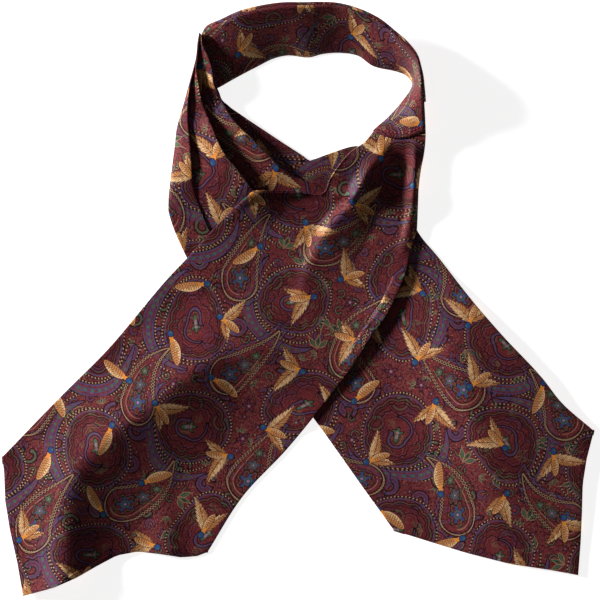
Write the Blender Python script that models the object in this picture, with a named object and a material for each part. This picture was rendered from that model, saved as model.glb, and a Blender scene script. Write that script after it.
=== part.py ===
"""Silk cravat laid flat: a pleated neckband with a facing, and two wide pointed blades that cross.

Sizes are in millimetres until the meshes are made. X runs to the right, Y from the blades' tips to the back
of the neck, and Z up from the surface that the cloth lies on. The origin is the middle of the cravat's
outline on that surface. "Left" and "right" are as seen from above with the neck loop at the top.
"""

import math

import bmesh
import bpy
import numpy as np

MM = 0.001

# Cloth
BLADE_WALL = 1.5  # two pressed layers of silk
PLEAT_WALL = 3.0  # the folded layers of a knife pleat
PLEAT_HOLLOW = 1.2  # power of a pleat's rise to its lip: it stays low beside the pocket
ROLL_SWELL = 0.7  # power of the rise from the rolled outer side
CREST_ROUND = 0.08  # share of a crease's reach that its crest is rounded over
CREST_HOLLOW = 1.4  # power of the fall from a crease's crest
FACING_WALL = 1.2
LEAST_WALL = 0.6  # where a wall is squeezed between its top and what it lies on
LAYER_GAP = 0.5  # between cloths that lie on each other
LAYER_REACH = 8.0  # a cloth stays this far past the edge of what it lies on before it falls
LAYER_FALL = 0.3  # slope of its fall to the surface
SLANT_REACH = 2.5  # the same two for the facing's end, which lies on a steep slant
SLANT_FALL = 1.5
LIP_RUN = 0.9  # width of the drop from a pleat's lip to the pocket beside it
LIP_SHARE = 0.3  # the most of a pleat's width that the drop may take

# Columns of each wall
RIGHT_COLUMNS_TO_TIP = 8
RIGHT_COLUMNS_PAST_TIP = 10
PLEAT_COLUMNS = 5
BAND_COLUMNS = 6

# The band's outer silk in section: shares of the facing's slant, and depths under the facing. Its outside has
# two pleats' lips that run along the band.
BAND_PROFILE = (
    (0.16, 0.5),
    (0.45, 0.5),
    (0.75, 0.5),
    (0.98, 0.5),
    (1.045, 1.6),
    (1.04, 3.0),
    (0.97, 4.0),
    (0.72, 3.8),
    (0.70, 2.8),
    (0.44, 2.8),
    (0.42, 1.9),
    (0.16, 1.4),
)

# Where the cloths lap
LEFT_LAP_SECTIONS = 9  # sections of the facing that lie under the left pleats
BAND_SHORT_SECTIONS = 5  # sections of the facing past the end of the band's outer silk
RIGHT_LAP_SECTIONS = 8  # sections of the right half that lie under the facing's end
PLEAT_LAP = 1.2  # least thickness of the pleats where they lie on the facing
TURNED_DOWN = 0.3  # height of the right neck's turned-down outer side, as a share of its inner side's


def table(names, *rows):
    """The rows as one array, and the place of each named column in it."""
    values = np.array(rows, float)
    return values, {name: i for i, name in enumerate(names.split())}


# Neckband facing, from its end under the left pleats round the back of the neck to its stitched end on the
# right. The inner edge lies on the surface and the outer edge stands up from it, highest at the right bend.
FACING = table(
    "inner_x inner_y outer_x outer_y inner_z outer_z bow step",
    (-77.0, 154.0, -73.5, 200.0, 0.3, 8.5, 0.0, 6),
    (-62.5, 160.0, -69.3, 205.6, 0.0, 9.5, 0.0, 6),
    (-49.0, 167.5, -58.2, 210.6, 0.0, 13.5, 0.0, 6),
    (-31.0, 177.0, -43.0, 217.2, 0.0, 18.0, 0.0, 7),
    (-18.0, 183.3, -27.0, 221.1, 0.0, 20.5, 0.0, 7),
    (-7.5, 185.5, -12.8, 223.1, 0.0, 22.0, 0.0, 7),
    (8.5, 184.0, 4.0, 223.3, 0.0, 22.0, 0.0, 7),
    (18.5, 186.5, 17.0, 223.6, 0.0, 21.5, 0.0, 7),
    (30.5, 187.5, 29.0, 223.1, 0.0, 20.5, 0.0, 7),
    (45.0, 185.5, 43.8, 219.6, 0.0, 21.5, 0.0, 7),
    (57.5, 177.2, 60.5, 211.9, 0.0, 23.0, 0.0, 6),
    (74.0, 173.5, 73.8, 201.8, 0.0, 25.0, 0.0, 5),
    (82.5, 170.0, 84.3, 192.0, 0.0, 28.0, 0.0, 4),
    (86.6, 164.2, 91.0, 181.8, 0.4, 30.5, 0.0, 3),
    (85.8, 160.0, 93.0, 171.0, 1.0, 31.0, 0.0, 4),
    (79.5, 151.0, 93.8, 159.5, 1.6, 29.0, 0.0, 4),
    (69.5, 139.5, 95.2, 145.5, 2.4, 21.0, 2.0, 4),
    (57.0, 128.5, 96.3, 128.5, 3.0, 12.0, 6.5, 4),
)

# Left half. Each section crosses the pleats from the rolled outer side to the neck edge: C, B and A are the
# pleats' lips, where one pleat lies over the next. Heights are of the rolled side, the lips, the pockets
# beside them and the neck edge.
LEFT_NECK = table(
    "roll_x roll_y c_x c_y b_x b_y a_x a_y edge_x edge_y roll_z c_z b_z a_z pocket_z edge_z step",
    (-75.4, 203.0, -74.8, 202.4, -74.2, 201.9, -73.4, 201.2, -72.6, 200.6, 12, 13, 13.2, 13.4, 12.8, 12.6, 4),
    (-76.6, 196.0, -76.0, 195.7, -75.4, 195.4, -73.0, 194.6, -72.0, 194.2, 10, 13.6, 14, 14.5, 12.5, 12.6, 4),
    (-78.0, 183.5, -77.2, 183.5, -76.5, 183.5, -68.0, 183.5, -66.8, 183.5, 8, 13.5, 14, 15, 11, 11.5, 4),
    (-80.0, 175.5, -79.0, 175.5, -77.5, 175.5, -65.5, 175.0, -64.3, 175.0, 6, 12, 14, 14.5, 8, 9, 4),
    (-83.5, 162.5, -82.3, 162.2, -75.0, 163.0, -64.0, 164.0, -62.8, 164.0, 4, 10, 12.5, 12.5, 4.5, 5.5, 4),
    (-87.0, 149.5, -83.5, 151.0, -73.5, 153.0, -61.2, 157.0, -60.0, 157.0, 3.0, 9.5, 10.0, 9.0, 4.0, 5.0, 4),
    (-92.0, 132.0, -83.5, 136.5, -71.0, 145.0, -58.2, 151.0, -57.0, 150.5, 2.5, 7.5, 8.0, 7.0, 4.5, 5.0, 4),
    (-94.0, 116.5, -82.5, 122.5, -65.5, 132.0, -49.5, 137.0, -40.5, 138.4, 2.5, 8.0, 11.5, 9.5, 3.0, 4.0, 5),
    (-96.3, 98.5, -81.0, 106.0, -58.0, 114.5, -39.5, 126.5, -27.5, 129.7, 2.5, 8.5, 13.0, 10.5, 2.8, 3.5, 5),
    (-98.6, 79.0, -80.0, 87.0, -47.0, 100.0, -27.5, 114.5, -10.5, 118.4, 2.5, 5.6, 12.5, 10.0, 2.6, 3.0, 5),
    (-98.9, 69.6, -77.2, 76.1, -38.8, 89.1, -16.6, 103.8, 4.3, 108.8, 2.5, 3.8, 10.7, 8.5, 2.6, 3.0, 5),
    (-98.8, 66.5, -76.0, 72.5, -36.0, 85.5, -13.0, 100.0, 9.5, 105.3, 2.5, 3.4, 10.0, 8.0, 2.6, 3.0, 5),
    (-97.9, 63.1, -74.6, 68.9, -34.0, 83.1, -9.4, 98.0, 14.6, 107.3, 2.5, 3.1, 8.8, 7.1, 2.6, 3.0, 5),
    (-94.2, 52.0, -70.0, 57.0, -27.5, 75.5, 1.0, 92.0, 30.0, 113.0, 2.5, 2.7, 5.0, 4.2, 2.5, 3.0, 7),
    (-84.5, 31.0, -61.5, 42.0, -15.0, 65.0, 16.0, 86.0, 46.0, 116.5, 2.0, 2.2, 2.4, 2.4, 2.4, 2.4, 8),
    (-66.5, 7.5, -41.0, 22.0, 3.0, 50.0, 34.0, 73.0, 68.5, 97.0, 1.6, 1.8, 1.8, 1.8, 1.8, 1.8, 9),
)
LIPS = ("c", "b", "a")

# Each blade's sections cross it from its left edge to its right one, as seen from above. Point is how far a
# section is drawn out to the shape of the pointed end.
LEFT_BLADE = table(
    "left_x left_y right_x right_y point step",
    (-66.5, 7.5, 68.5, 97.0, 0.0, 9),
    (-44.0, -20.0, 84.0, 73.0, 0.0, 9),
    (-23.0, -47.0, 91.5, 51.0, 0.0, 9),
    (-5.5, -69.5, 108.0, 30.5, 0.0, 10),
    (11.5, -90.5, 131.0, 1.0, 0.03, 10),
    (32.0, -119.0, 156.0, -28.0, 0.18, 10),
    (52.5, -148.0, 188.0, -62.5, 0.5, 10),
    (60.5, -159.0, 199.8, -77.8, 0.7, 10),
    (73.0, -176.5, 225.5, -100.5, 1.0, 10),
)
LEFT_HEM = table(
    "x y",
    (73.0, -176.5),
    (103.5, -186.0),
    (128.0, -193.5),
    (161.5, -202.0),
    (191.5, -206.5),
    (213.5, -210.5),
    (215.5, -184.5),
    (216.5, -161.0),
    (217.0, -141.0),
    (220.0, -122.0),
    (225.5, -100.5),
)
LEFT_TIP = 5  # row of the hem that is the blade's tip

# The right half starts under the facing's end, on the same slant: left_z and right_z are its sides' heights
# there over what it lies on.
RIGHT_HALF = table(
    "left_x left_y right_x right_y left_z right_z point step",
    (72.5, 142.8, 96.2, 150.3, 0.1, 21.2, 0.0, 4),
    (66.4, 136.5, 96.8, 141.0, 0.6, 16.9, 0.0, 4),
    (60.1, 131.2, 97.2, 131.3, 1.1, 13.0, 0.0, 4),
    (56.0, 126.0, 97.3, 125.0, 2.6, 10.2, 0.0, 4),
    (50.5, 119.5, 96.9, 117.5, 4.6, 7.5, 0.0, 4),
    (39.5, 112.0, 95.8, 109.0, 7.5, 6.0, 0.0, 4),
    (32.0, 103.5, 94.0, 100.0, 8.5, 5.0, 0.0, 5),
    (23.5, 90.5, 92.0, 84.5, 6.5, 4.0, 0.0, 5),
    (19.5, 81.5, 91.5, 72.5, 3.0, 3.0, 0.0, 5),
    (11.5, 79.3, 91.0, 59.5, 0.0, 0.0, 0.0, 5),
    (-0.5, 81.8, 90.5, 52.0, 0.0, 0.0, 0.0, 5),
    (-11.5, 82.4, 88.5, 46.5, 0.0, 0.0, 0.0, 5),
    (-21.5, 82.6, 87.0, 42.0, 0.0, 0.0, 0.0, 5),
    (-28.5, 82.9, 86.3, 39.0, 0.0, 0.0, 0.0, 6),
    (-34.0, 82.4, 85.5, 36.0, 0.0, 0.0, 0.0, 6),
    (-38.0, 79.0, 84.8, 32.5, 0.0, 0.0, 0.0, 6),
    (-48.0, 70.0, 83.0, 23.5, 0.0, 0.0, 0.0, 7),
    (-61.5, 56.5, 76.5, 6.0, 0.0, 0.0, 0.0, 8),
    (-73.5, 43.5, 67.0, -13.0, 0.0, 0.0, 0.0, 8),
    (-84.8, 31.0, 55.5, -29.0, 0.0, 0.0, 0.0, 8),
    (-99.0, 16.0, 42.0, -50.5, 0.0, 0.0, 0.0, 10),
    (-113.5, -1.0, 23.5, -75.0, 0.0, 0.0, 0.03, 10),
    (-145.5, -39.0, -8.5, -114.5, 0.0, 0.0, 0.18, 10),
    (-180.5, -74.0, -40.5, -148.5, 0.0, 0.0, 0.48, 10),
    (-225.5, -120.5, -69.0, -193.0, 0.0, 0.0, 1.0, 10),
)
RIGHT_HEM = table(
    "x y",
    (-225.5, -120.5),
    (-224.0, -132.0),
    (-223.2, -154.0),
    (-219.6, -176.0),
    (-214.2, -200.0),
    (-209.5, -226.5),
    (-186.0, -220.1),
    (-169.0, -212.7),
    (-154.0, -204.0),
    (-138.0, -195.5),
    (-122.0, -192.5),
    (-105.0, -194.5),
    (-89.0, -197.0),
    (-77.0, -196.0),
    (-69.0, -193.0),
)
RIGHT_TIP = 5

# Creases: how far each one reaches to the left and right of its line, seen along it, and the line with the
# crease's height at each point, which is negative in a trough.
RIGHT_CREASES = {
    "pleat ridge": (
        36.0,
        8.0,
        (
            (72, 126, 0),
            (65, 113.5, 2.0),
            (55.5, 102, 4.0),
            (47.5, 87, 6.0),
            (38, 69.5, 7.5),
            (25.5, 57.5, 7.0),
            (16, 42, 5.0),
            (8, 25, 3.0),
            (2, 5, 1.5),
            (-2, -12, 0),
        ),
    ),
    "side valley": (
        8.0,
        30.0,
        (
            (81, 118, 0),
            (81, 104, -2.0),
            (80, 88, -4.5),
            (77, 68, -5.0),
            (71, 48, -4.0),
            (64, 30, -2.0),
            (58, 14, 0),
        ),
    ),
    "side ridge": (
        12.0,
        7.0,
        ((88, 126, 0), (89, 112, 3), (89, 98, 4.5), (88, 83, 5), (86, 64, 4), (82, 45, 2.5), (76, 28, 0)),
    ),
    "cross pleat": (
        6.0,
        10.0,
        ((50, 80, 0), (42.5, 79.5, 1.8), (36, 78.5, 2.4), (29, 78.5, 1.8), (22, 81, 0)),
    ),
    "neck edge roll": (
        5.0,
        14.0,
        ((22, 84, 0), (8, 82, 2), (-8, 83, 3), (-24, 82, 2), (-38, 78, 1.2), (-52, 62, 0.8), (-66, 46, 0)),
    ),
    "long soft fold": (
        66.0,
        50.0,
        (
            (30, -34, 0),
            (-2, -37, 2.0),
            (-34, -40, 6.0),
            (-62, -44, 10.0),
            (-84, -58, 12.5),
            (-107, -77, 14.0),
            (-138, -100, 14.5),
            (-166, -127, 13.5),
            (-179, -153, 11.5),
            (-180, -184, 9.0),
            (-178, -214, 7.0),
        ),
    ),
    "tip rise": (
        36.0,
        34.0,
        ((-160, -112, 0), (-174, -150, 2.0), (-178, -182, 6.0), (-179, -212, 9.0), (-180, -226, 10.0)),
    ),
    "hem wave": (
        20.0,
        18.0,
        ((-100, -128, 0), (-104, -152, 1.5), (-103, -172, 3.0), (-101, -196, 4.0)),
    ),
    "raised side": (
        10.0,
        24.0,
        (
            (88, 40, 0),
            (82, 18, 1.5),
            (74, 0, 2.5),
            (64, -18, 2.8),
            (52, -36, 2.5),
            (40, -53, 1.5),
            (22, -77, 0),
        ),
    ),
}
LEFT_CREASES = {
    "middle soft fold": (
        150.0,
        56.0,
        (
            (98, 16, 0),
            (108, -14, 6.0),
            (117, -40, 10.5),
            (129, -72, 12.0),
            (142, -112, 11.0),
            (150, -152, 7.0),
            (158, -202, 3.0),
        ),
    ),
}

SILK = (0.13, 0.028, 0.038)
FACING_SILK = (0.09, 0.02, 0.03)


def column(rows, name):
    """One named column of a table, as an array with a row for each section."""
    values, places = rows
    return values[:, places[name]]


def smooth(rows, along):
    """The table with more rows between its own, on smooth curves, about "step" apart as measured in along."""
    values, places = rows
    knots = np.concatenate([[0], np.cumsum(np.linalg.norm(np.diff(along, axis=0), axis=1))])
    slopes = np.gradient(values, knots, axis=0)
    out = []
    for i, length in enumerate(np.diff(knots)):
        count = max(1, round(length / values[i, places["step"]]))
        for t in np.arange(count) / count:
            start, end = values[i], values[i + 1]
            a, b = slopes[i] * length, slopes[i + 1] * length
            out.append(
                (2 * t**3 - 3 * t**2 + 1) * start
                + (t**3 - 2 * t**2 + t) * a
                + (3 * t**2 - 2 * t**3) * end
                + (t**3 - t**2) * b
            )
    return np.array([*out, values[-1]]), places


def pair(rows, name):
    """The x and y columns of a named point, as an array of points."""
    return np.stack([column(rows, name + "_x"), column(rows, name + "_y")], axis=1)


def crest(share):
    """About 1 at 0, falling steeply at first, then gently to 0 at 1 and beyond."""
    return (1 - np.minimum(np.hypot(share, CREST_ROUND), 1)) ** CREST_HOLLOW


def crease_height(x, y, creases):
    """The height that the creases add at each point."""
    total = np.zeros(x.shape)
    for left, right, points in creases.values():
        nearest, side, height = np.full(x.shape, np.inf), np.zeros(x.shape), np.zeros(x.shape)
        for (ax, ay, az), (bx, by, bz) in zip(points[:-1], points[1:]):
            dx, dy = bx - ax, by - ay
            t = np.clip(((x - ax) * dx + (y - ay) * dy) / (dx * dx + dy * dy), 0, 1)
            away = np.hypot(x - ax - t * dx, y - ay - t * dy)
            closer = away < nearest
            nearest = np.where(closer, away, nearest)
            side = np.where(closer, dx * (y - ay) - dy * (x - ax), side)
            height = np.where(closer, az + t * (bz - az), height)
        total += height * crest(nearest / np.where(side > 0, left, right))
    return total


def lift_over(x, y, below, reach=LAYER_REACH, fall=LAYER_FALL):
    """The least height at which a cloth clears the points below it. It falls away gently past their edges."""
    lift = np.zeros(x.shape)
    for px, py, pz in below:
        past = np.maximum(0, np.hypot(x - px, y - py) - reach)
        lift = np.maximum(lift, pz + LAYER_GAP - fall * past)
    return lift


def hem_points(hem, tip, to_tip, past_tip):
    """Points along a hem, evenly spaced on each side of its tip."""
    ends, _ = hem
    out = []
    for side, count in ((ends[: tip + 1], to_tip), (ends[tip:], past_tip)):
        length = np.concatenate([[0], np.cumsum(np.linalg.norm(np.diff(side, axis=0), axis=1))])
        at = np.linspace(0, length[-1], count + 1)
        out.append(np.stack([np.interp(at, length, side[:, k]) for k in range(2)], axis=1))
    return np.concatenate([out[0], out[1][1:]])


def hem_at_shares(hem, tip, shares):
    """The hem's points at the given shares of its length, with the nearest share moved to its tip."""
    ends, _ = hem
    length = np.concatenate([[0], np.cumsum(np.linalg.norm(np.diff(ends, axis=0), axis=1))])
    length /= length[-1]
    at = shares.copy()
    at[np.abs(at - length[tip]).argmin()] = length[tip]
    return np.stack([np.interp(at, length, ends[:, k]) for k in range(2)], axis=1)


def blade_plan(sections, hem, shares):
    """Each section's points in plan: across at the given shares, then drawn out to the pointed hem."""
    rows = smooth(sections, (pair(sections, "left") + pair(sections, "right")) / 2)
    straight = between(pair(rows, "left"), pair(rows, "right"), shares)
    return straight + column(rows, "point")[:, None, None] * (hem - straight[-1])


def wall_below(top, wall, floor):
    """The underside of a wall: its thickness under the top, also beside a drop, and never below the floor."""
    z = top[..., 2]
    lowest = z.copy()
    lowest[:, 1:] = np.minimum(lowest[:, 1:], z[:, :-1])
    lowest[:, :-1] = np.minimum(lowest[:, :-1], z[:, 1:])
    out = top.copy()
    out[..., 2] = np.minimum(np.maximum(lowest - wall, floor), z - LEAST_WALL)
    return out


def finish_object(name, mesh, colour, collection):
    """The closed mesh as a named object with a silk of its own."""
    bmesh.ops.recalc_face_normals(mesh, faces=mesh.faces)
    data = bpy.data.meshes.new(name)
    mesh.to_mesh(data)
    mesh.free()
    data.shade_smooth()
    data.set_sharp_from_angle(angle=math.radians(50))
    material = bpy.data.materials.new(name + " silk")
    material.use_nodes = True
    shader = material.node_tree.nodes["Principled BSDF"]
    shader.inputs["Base Color"].default_value = (*colour, 1)
    shader.inputs["Roughness"].default_value = 0.55
    shader.inputs["Metallic"].default_value = 0.0
    data.materials.append(material)
    collection.objects.link(bpy.data.objects.new(name, data))


def cloth_object(name, top, bottom, colour, collection):
    """One closed wall between two grids of points."""
    ring_object(name, np.concatenate([top, bottom[:, ::-1]], axis=1), colour, collection)


def ring_object(name, rings, colour, collection):
    """One closed wall through rings of equally many points, its ends closed across each ring."""
    mesh = bmesh.new()
    loops = [[mesh.verts.new(np.array(point) * MM) for point in ring] for ring in rings]
    count = len(loops[0])
    for here, there in zip(loops[:-1], loops[1:]):
        for i in range(count):
            k = (i + 1) % count
            mesh.faces.new((here[i], here[k], there[k], there[i]))
    for end in (loops[0], loops[-1]):
        for i in range(count // 2 - 1):
            mesh.faces.new((end[i], end[i + 1], end[count - 2 - i], end[count - 1 - i]))
    finish_object(name, mesh, colour, collection)


def between(a, b, shares):
    """Points between two lines of points, a row for each pair and a column for each share."""
    return a[:, None] * (1 - shares)[:, None] + b[:, None] * shares[:, None]


def facing_sections():
    """The facing's underside, a section a row, from its inner edge to its outer one."""
    rows = smooth(FACING, (pair(FACING, "inner") + pair(FACING, "outer")) / 2)
    low = np.column_stack([pair(rows, "inner"), column(rows, "inner_z")])
    high = np.column_stack([pair(rows, "outer"), column(rows, "outer_z")])
    shares = np.linspace(0, 1, BAND_COLUMNS + 1)
    sections = between(low, high, shares)
    sections[..., 1] -= column(rows, "bow")[:, None] * (4 * shares * (1 - shares))
    return sections


def band_rings(facing_bottom):
    """The band's outer silk, under the facing: closed rings on its slant, with pleats stepped outside."""
    rings = []
    for section in facing_bottom:
        low, high = section[0], section[-1]
        slant = high - low
        flat = math.hypot(slant[0], slant[1])
        down = np.array([slant[0] * slant[2] / flat, slant[1] * slant[2] / flat, -flat])
        down /= np.linalg.norm(down)
        ring = [low + along * slant + depth * down for along, depth in BAND_PROFILE]
        rings.append([(px, py, max(pz, 0.0)) for px, py, pz in ring])
    return np.array(rings)


def left_half(facing_top):
    """The left half's top and underside: three knife pleats at the neck, then the blade that lies below."""
    rows = smooth(LEFT_NECK, (pair(LEFT_NECK, "roll") + pair(LEFT_NECK, "edge")) / 2)
    lines = [pair(rows, name) for name in ("roll", *LIPS, "edge")]
    pocket = column(rows, "pocket_z")
    starts = [column(rows, "roll_z"), pocket, pocket, pocket]
    ends = [*(column(rows, lip + "_z") for lip in LIPS), column(rows, "edge_z")]
    columns = []
    for k, (a, b, low, high) in enumerate(zip(lines[:-1], lines[1:], starts, ends)):
        run = np.linalg.norm(b - a, axis=1)
        first = np.minimum(LIP_RUN / run, LIP_SHARE) if k else np.zeros(len(run))
        for t in np.linspace(0, 1, PLEAT_COLUMNS + 1):
            share = first + (1 - first) * t
            rise = t**PLEAT_HOLLOW if k else t**ROLL_SWELL
            at = a + (b - a) * share[:, None]
            columns.append(np.column_stack([at, low + (high - low) * rise]))
    neck = np.stack(columns, axis=1)
    # The blade's columns stand at the same shares of its width as the neck's, so that the wall runs on.
    shares = np.linalg.norm(neck[-1, :, :2] - neck[-1, 0, :2], axis=1)
    shares /= shares[-1]
    plan = blade_plan(LEFT_BLADE, hem_at_shares(LEFT_HEM, LEFT_TIP, shares), shares)
    z = BLADE_WALL + crease_height(plan[..., 0], plan[..., 1], LEFT_CREASES)
    top = np.concatenate([neck[:-1], np.dstack([plan, z])])
    near = facing_top[: LEFT_LAP_SECTIONS].reshape(-1, 3)
    floor = lift_over(top[..., 0], top[..., 1], near)
    top[..., 2] = np.maximum(top[..., 2], floor + PLEAT_LAP)
    wall = np.where(np.arange(len(top)) < len(neck) - 1, PLEAT_WALL, BLADE_WALL)
    return top, wall_below(top, wall[:, None], floor)


def right_half(left_top):
    """The right half's top and underside: it lies over the left half, from the facing's end to its point."""
    hem = hem_points(RIGHT_HEM, RIGHT_TIP, RIGHT_COLUMNS_TO_TIP, RIGHT_COLUMNS_PAST_TIP)
    shares = np.concatenate([[0], np.cumsum(np.linalg.norm(np.diff(hem, axis=0), axis=1))])
    shares /= shares[-1]
    plan = blade_plan(RIGHT_HALF, hem, shares)
    x, y = plan[..., 0], plan[..., 1]
    lift = lift_over(x, y, left_top.reshape(-1, 3))
    rows = smooth(RIGHT_HALF, (pair(RIGHT_HALF, "left") + pair(RIGHT_HALF, "right")) / 2)
    low, high = column(rows, "left_z")[:, None], column(rows, "right_z")[:, None]
    raised = low + (high - low) * shares
    raised[:, 0], raised[:, -1] = TURNED_DOWN * low[:, 0], TURNED_DOWN * low[:, 0]
    z = lift + BLADE_WALL + np.maximum(raised + crease_height(x, y, RIGHT_CREASES), 0)
    top = np.dstack([x, y, z])
    return top, wall_below(top, BLADE_WALL, lift)


def main():
    for old in list(bpy.data.objects):
        bpy.data.objects.remove(old, do_unlink=True)
    cravat = bpy.data.collections.new("Silk cravat")
    bpy.context.scene.collection.children.link(cravat)

    facing_bottom = facing_sections()
    facing_top = facing_bottom + (0, 0, FACING_WALL)
    left_top, left_bottom = left_half(facing_top)
    right_top, right_bottom = right_half(left_top)
    under = right_top[:RIGHT_LAP_SECTIONS].reshape(-1, 3)
    lap = lift_over(facing_bottom[..., 0], facing_bottom[..., 1], under, SLANT_REACH, SLANT_FALL)
    facing_bottom[..., 2] = np.maximum(facing_bottom[..., 2], lap)
    facing_top = facing_bottom + (0, 0, FACING_WALL)
    rings = band_rings(facing_sections()[:-BAND_SHORT_SECTIONS])

    ring_object("band_outer", rings, SILK, cravat)
    cloth_object("band_facing", facing_top, facing_bottom, FACING_SILK, cravat)
    cloth_object("left_neck_under_blade", left_top, left_bottom, SILK, cravat)
    cloth_object("right_neck_top_blade", right_top, right_bottom, SILK, cravat)


main()
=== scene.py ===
"""Looks of a silk cravat that lies flat with its blades crossed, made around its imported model.

Sizes are in millimetres until a mesh is made. X runs to the right as seen from above, Y from the blades'
points to the back of the neck, and Z up from the surface. Print places are millimetres of cloth.
"""

import math

import bmesh
import bpy
import numpy as np
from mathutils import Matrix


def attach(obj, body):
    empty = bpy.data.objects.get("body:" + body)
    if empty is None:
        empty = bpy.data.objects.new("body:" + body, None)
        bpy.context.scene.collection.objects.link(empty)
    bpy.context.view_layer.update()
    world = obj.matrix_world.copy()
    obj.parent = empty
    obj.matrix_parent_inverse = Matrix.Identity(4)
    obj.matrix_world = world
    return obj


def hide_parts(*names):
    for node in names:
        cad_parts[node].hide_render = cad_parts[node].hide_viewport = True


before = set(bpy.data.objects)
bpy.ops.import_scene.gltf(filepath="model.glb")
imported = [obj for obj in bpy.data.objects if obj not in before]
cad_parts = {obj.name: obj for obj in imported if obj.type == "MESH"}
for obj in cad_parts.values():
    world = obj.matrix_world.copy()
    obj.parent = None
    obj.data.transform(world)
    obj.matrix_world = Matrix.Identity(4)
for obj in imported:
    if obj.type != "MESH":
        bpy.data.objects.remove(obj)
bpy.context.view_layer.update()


# The printed silk: fine twill, printed with large botehs, medallions in rings of dots, scrolls and sprigs on
# burgundy. The inks sit in the cloth, so all of it has one soft sheen.

EDGE = 0.22  # softness of every printed outline
SHINE = 0.55
INK_SHARE = 1.02  # how much more light the dyes give back than the same colours on a screen


class Value:
    """A number or colour worked out by a material's nodes. Arithmetic on it adds the nodes for the result."""

    tree = None  # the node tree that new nodes go to

    def __init__(self, socket):
        self.socket = socket

    @staticmethod
    def node(kind, settings, inputs):
        """A new node with its settings and its inputs, each a value or a plain number."""
        node = Value.tree.nodes.new("ShaderNode" + kind)
        for name, setting in settings.items():
            setattr(node, name, setting)
        for name, value in inputs.items():
            if isinstance(value, Value):
                Value.tree.links.new(value.socket, node.inputs[name])
            else:
                node.inputs[name].default_value = value
        return node

    @staticmethod
    def math(operation, *values, clamp=False):
        """One maths node's result."""
        node = Value.node("Math", {"operation": operation, "use_clamp": clamp}, dict(enumerate(values)))
        return Value(node.outputs[0])

    def __add__(self, other):
        return Value.math("ADD", self, other)

    __radd__ = __add__

    def __sub__(self, other):
        return Value.math("SUBTRACT", self, other)

    def __rsub__(self, other):
        return Value.math("SUBTRACT", other, self)

    def __mul__(self, other):
        return Value.math("MULTIPLY", self, other)

    __rmul__ = __mul__

    def __truediv__(self, other):
        return Value.math("DIVIDE", self, other)

    def __rtruediv__(self, other):
        return Value.math("DIVIDE", other, self)

    def __abs__(self):
        return Value.math("ABSOLUTE", self)

    def __lt__(self, other):
        return Value.math("LESS_THAN", self, other)

    def __gt__(self, other):
        return Value.math("GREATER_THAN", self, other)


def least(a, b):
    return Value.math("MINIMUM", a, b)


def most(a, b):
    return Value.math("MAXIMUM", a, b)


def clamped(value):
    return Value.math("ADD", value, 0.0, clamp=True)


def wave(value):
    return Value.math("SINE", value)


def wrapped(value, period):
    """The value brought within half a period of 0."""
    return Value.math("WRAP", value, period / 2, -period / 2)


def rounded(value):
    return Value.math("ROUND", value)


def ramped(value, slope, start):
    """The value times a slope, plus a start, kept between 0 and 1."""
    return Value.math("MULTIPLY_ADD", value, slope, start, clamp=True)


def share_of(value, whole):
    """The value's share of a whole, kept between 0 and 1."""
    return Value.math("DIVIDE", value, whole, clamp=True)


def inside(distance):
    """1 within a shape and 0 outside it, from the distance to its outline."""
    return ramped(distance, -1 / EDGE, 0.5)


def line(distance, half):
    """1 within a line's half width."""
    return inside(abs(distance) - half)


def radius_of(x, y):
    return Value.math("SQRT", x * x + y * y)


def angle_of(x, y):
    return Value.math("ARCTAN2", y, x)


def turned_by(x, y, angle):
    """The point turned about the origin by an angle."""
    if isinstance(angle, Value):
        c, s = Value.math("COSINE", angle), Value.math("SINE", angle)
    else:
        c, s = math.cos(angle), math.sin(angle)
    return x * c + y * s, y * c - x * s


def parted(noise):
    """The red, green and blue of a noise node's colour, as three values."""
    parts = Value.node("SeparateColor", {}, {"Color": Value(noise.outputs["Color"])})
    return [Value(out) for out in parts.outputs]


def chances(x, y, seed):
    """Three random numbers that belong to a cell of a lattice."""
    cell = Value.node("CombineXYZ", {}, {"X": x, "Y": y, "Z": seed})
    return parted(Value.node("TexWhiteNoise", {"noise_dimensions": "3D"}, {"Vector": Value(cell.outputs[0])}))


def ink(red, green, blue):
    """A dye's colour, from its red, green and blue on a screen under this scene's light."""
    parts = [c / 255 for c in (red, green, blue)]
    return (*(INK_SHARE * (c / 12.92 if c < 0.04 else ((c + 0.055) / 1.055) ** 2.4) for c in parts), 1)


def painted(colour, over, mask):
    """The colour with another one over it where the mask is 1."""
    mix = Value.node("Mix", {"data_type": "RGBA"}, {0: mask, 6: colour, 7: over})
    return Value(mix.outputs[2])


def layered(colour, *layers):
    """The colour with each layer's ink laid over it in turn where that layer's mask is 1."""
    for over, mask in layers:
        colour = painted(colour, over, mask)
    return colour


def drop_shape(x, y, broad, narrow, length, bend):
    """Distance to a drop whose broad end lies round the origin and whose point leans to one side."""
    x = x - bend * y * abs(y)
    t = share_of(y, length)
    return radius_of(x, y - t * length) - (broad + (narrow - broad) * t)


BURGUNDY = ink(138, 52, 55)
WINE = ink(90, 30, 36)
DARK = ink(32, 14, 18)
PLUM = ink(92, 42, 62)
ROSE = ink(112, 52, 70)
VIOLET = ink(76, 72, 112)
GREEN = ink(72, 100, 74)
CREAM = ink(180, 146, 112)
BLUSH = ink(152, 118, 128)
TAN = ink(196, 132, 80)
STRAW = ink(244, 200, 148)
ORANGE = ink(226, 142, 58)
BLUE = ink(42, 74, 126)
BROWN = ink(92, 50, 34)


def noise_node(x, y, scale, detail, distortion=0.0):
    """Soft random patches, as a node with a value and a colour."""
    place = Value.node("CombineXYZ", {}, {"X": x, "Y": y})
    inputs = {"Vector": Value(place.outputs[0]), "Scale": scale, "Detail": detail, "Distortion": distortion}
    return Value.node("TexNoise", {"noise_dimensions": "2D"}, inputs)


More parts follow.
